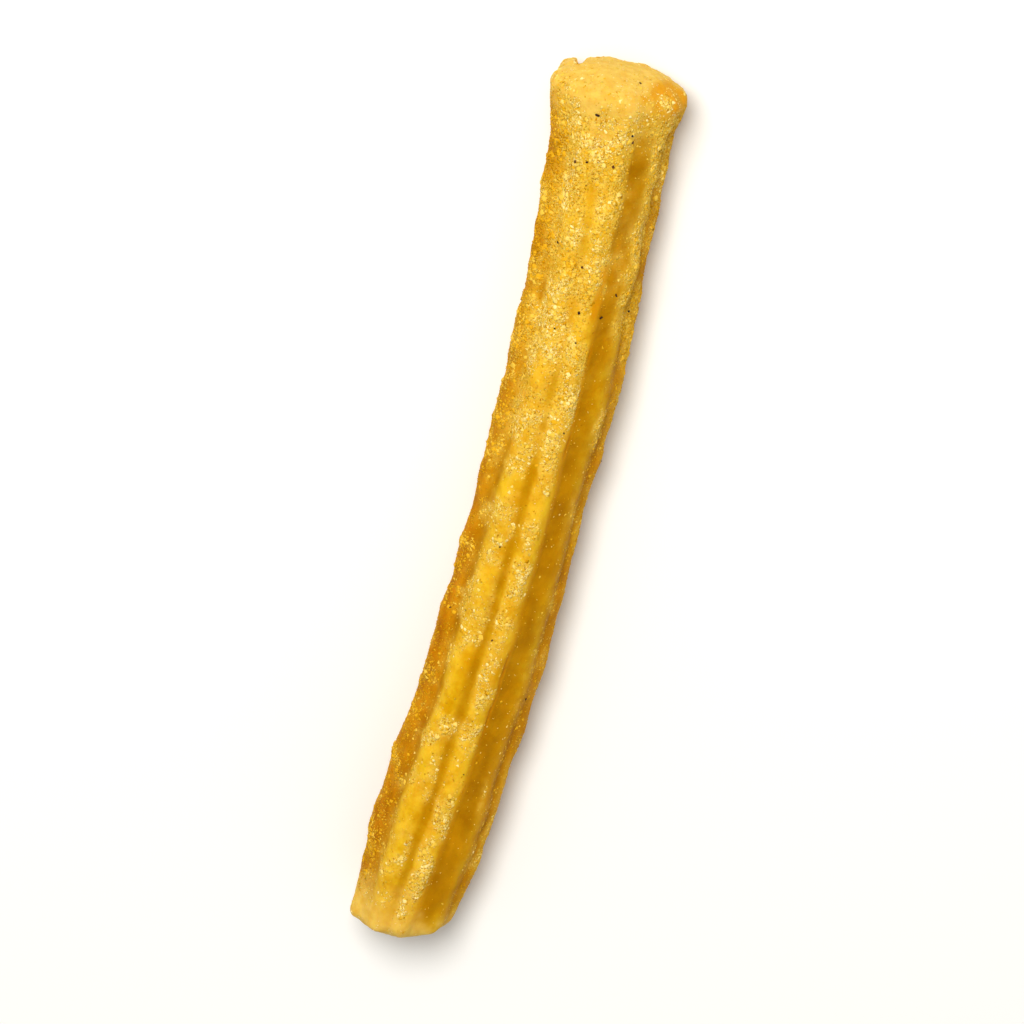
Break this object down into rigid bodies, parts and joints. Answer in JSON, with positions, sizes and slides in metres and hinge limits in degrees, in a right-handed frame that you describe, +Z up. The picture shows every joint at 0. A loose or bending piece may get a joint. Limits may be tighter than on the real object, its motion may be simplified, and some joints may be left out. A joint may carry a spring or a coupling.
{
  "type": "churro",
  "caption": "Sugared churro: a ridged stick of golden fried dough with a slight bow, shaped by a star nozzle, cut at both ends and wider at one, lying on its side.",
  "frame": {"origin": "bottom centre of the bounding box, on the surface the churro lies on", "axes": "+Y along the stick towards its wider cut end, +Z up, +X to the right of the side that shows"},
  "size_m": [0.029, 0.1904, 0.0254],
  "materials": {
    "fried_dough": null,
    "sugar": null,
    "spice": null
  },
  "bodies": {
    "root": {"churro": "fried_dough"}
  },
  "joints": []
}
